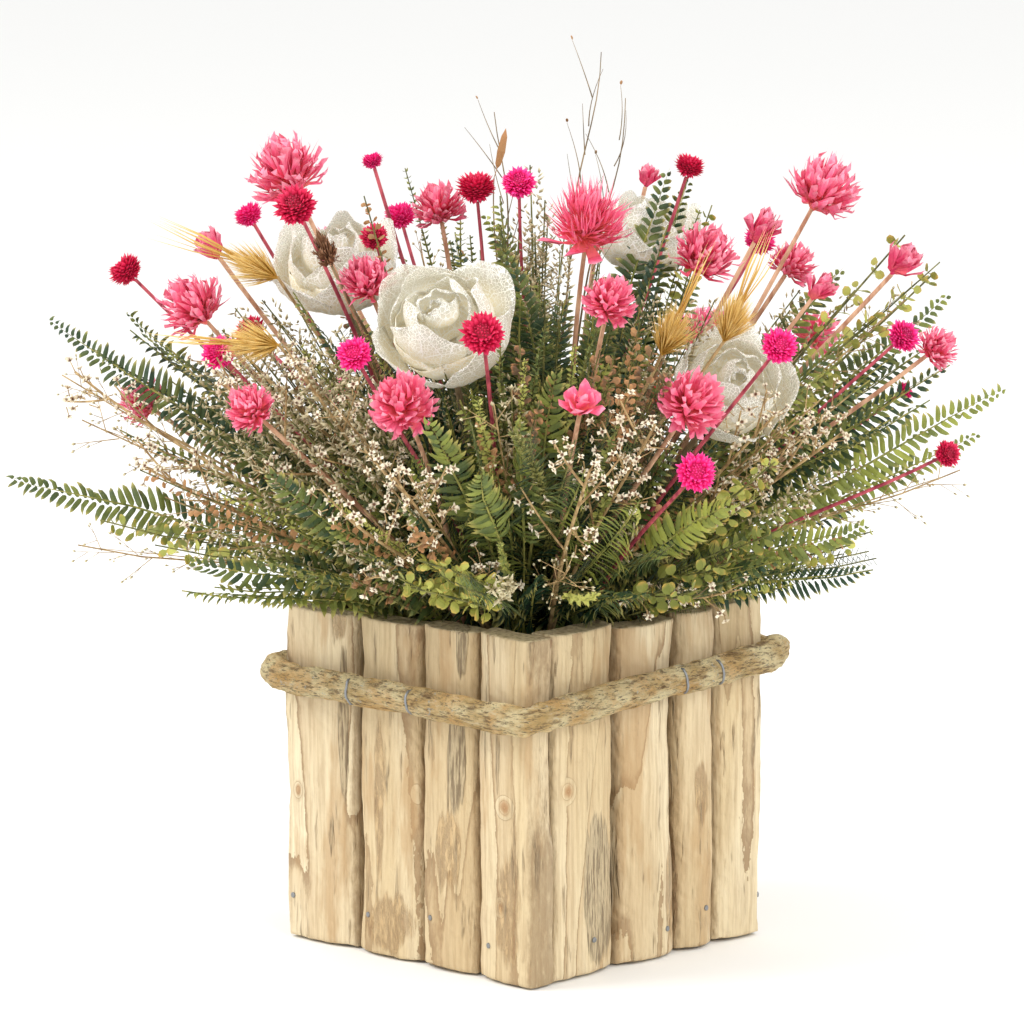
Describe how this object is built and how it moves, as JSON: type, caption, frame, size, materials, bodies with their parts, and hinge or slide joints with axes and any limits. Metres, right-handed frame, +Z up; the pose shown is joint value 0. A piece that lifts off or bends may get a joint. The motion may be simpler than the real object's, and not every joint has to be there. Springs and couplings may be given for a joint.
{
  "type": "dried flower arrangement",
  "caption": "Dried flowers, ferns and skeleton-leaf roses fanning out of a square planter made of split branches with a bent vine round it.",
  "frame": {"origin": "middle of the base board's underside, where the planter stands", "axes": "+Z up; -Y is the planter's left visible side in the picture and +X its right visible side"},
  "size_m": [0.3614, 0.3897, 0.3927],
  "materials": {
    "peeled_wood": "matte",
    "vine_bark": "matte",
    "board": "matte",
    "floral_foam": "matte",
    "cream_petal": "matte",
    "coral_bract": "matte",
    "magenta_bract": "matte",
    "golden_grass": "matte",
    "fern_leaf": "matte",
    "cream_floret": "matte",
    "round_leaf": "matte",
    "bare_twig": "matte",
    "heath_leaf": "matte"
  },
  "bodies": {
    "root": {"slat_front_left_1": "peeled_wood", "slat_front_left_2": "peeled_wood", "slat_front_left_3": "peeled_wood", "slat_front_left_4": "peeled_wood", "slat_front_right_1": "peeled_wood", "slat_front_right_2": "peeled_wood", "slat_front_right_3": "peeled_wood", "slat_front_right_4": "peeled_wood", "slat_back_right_1": "peeled_wood", "slat_back_right_2": "peeled_wood", "slat_back_right_3": "peeled_wood", "slat_back_right_4": "peeled_wood", "slat_back_left_1": "peeled_wood", "slat_back_left_2": "peeled_wood", "slat_back_left_3": "peeled_wood", "slat_back_left_4": "peeled_wood", "vine_hoop": "vine_bark", "base_board": "board", "foam_block": "floral_foam", "skeleton_rose_1": "cream_petal", "skeleton_rose_2": "cream_petal", "skeleton_rose_3": "cream_petal", "skeleton_rose_4": "cream_petal", "coral_flowers_1": "coral_bract", "coral_flowers_2": "coral_bract", "coral_flowers_3": "coral_bract", "coral_flowers_4": "coral_bract", "coral_flowers_5": "coral_bract", "coral_flowers_6": "coral_bract", "coral_flowers_7": "coral_bract", "coral_flowers_8": "coral_bract", "coral_flowers_9": "coral_bract", "coral_flowers_10": "coral_bract", "globe_flowers_1": "magenta_bract", "globe_flowers_2": "magenta_bract", "globe_flowers_3": "magenta_bract", "globe_flowers_4": "magenta_bract", "globe_flowers_5": "magenta_bract", "globe_flowers_6": "magenta_bract", "globe_flowers_7": "magenta_bract", "globe_flowers_8": "magenta_bract", "golden_tails": "golden_grass", "fern_fronds_1": "fern_leaf", "fern_fronds_2": "fern_leaf", "fern_fronds_3": "fern_leaf", "fern_fronds_4": "fern_leaf", "fern_fronds_5": "fern_leaf", "fern_fronds_6": "fern_leaf", "fern_fronds_7": "fern_leaf", "fern_fronds_8": "fern_leaf", "statice_spray_1": "cream_floret", "statice_spray_2": "cream_floret", "statice_spray_3": "cream_floret", "statice_spray_4": "cream_floret", "statice_spray_5": "cream_floret", "round_leaf_spray_1": "round_leaf", "round_leaf_spray_2": "round_leaf", "round_leaf_spray_3": "round_leaf", "bare_twigs": "bare_twig", "heath_stems": "heath_leaf"}
  },
  "joints": []
}
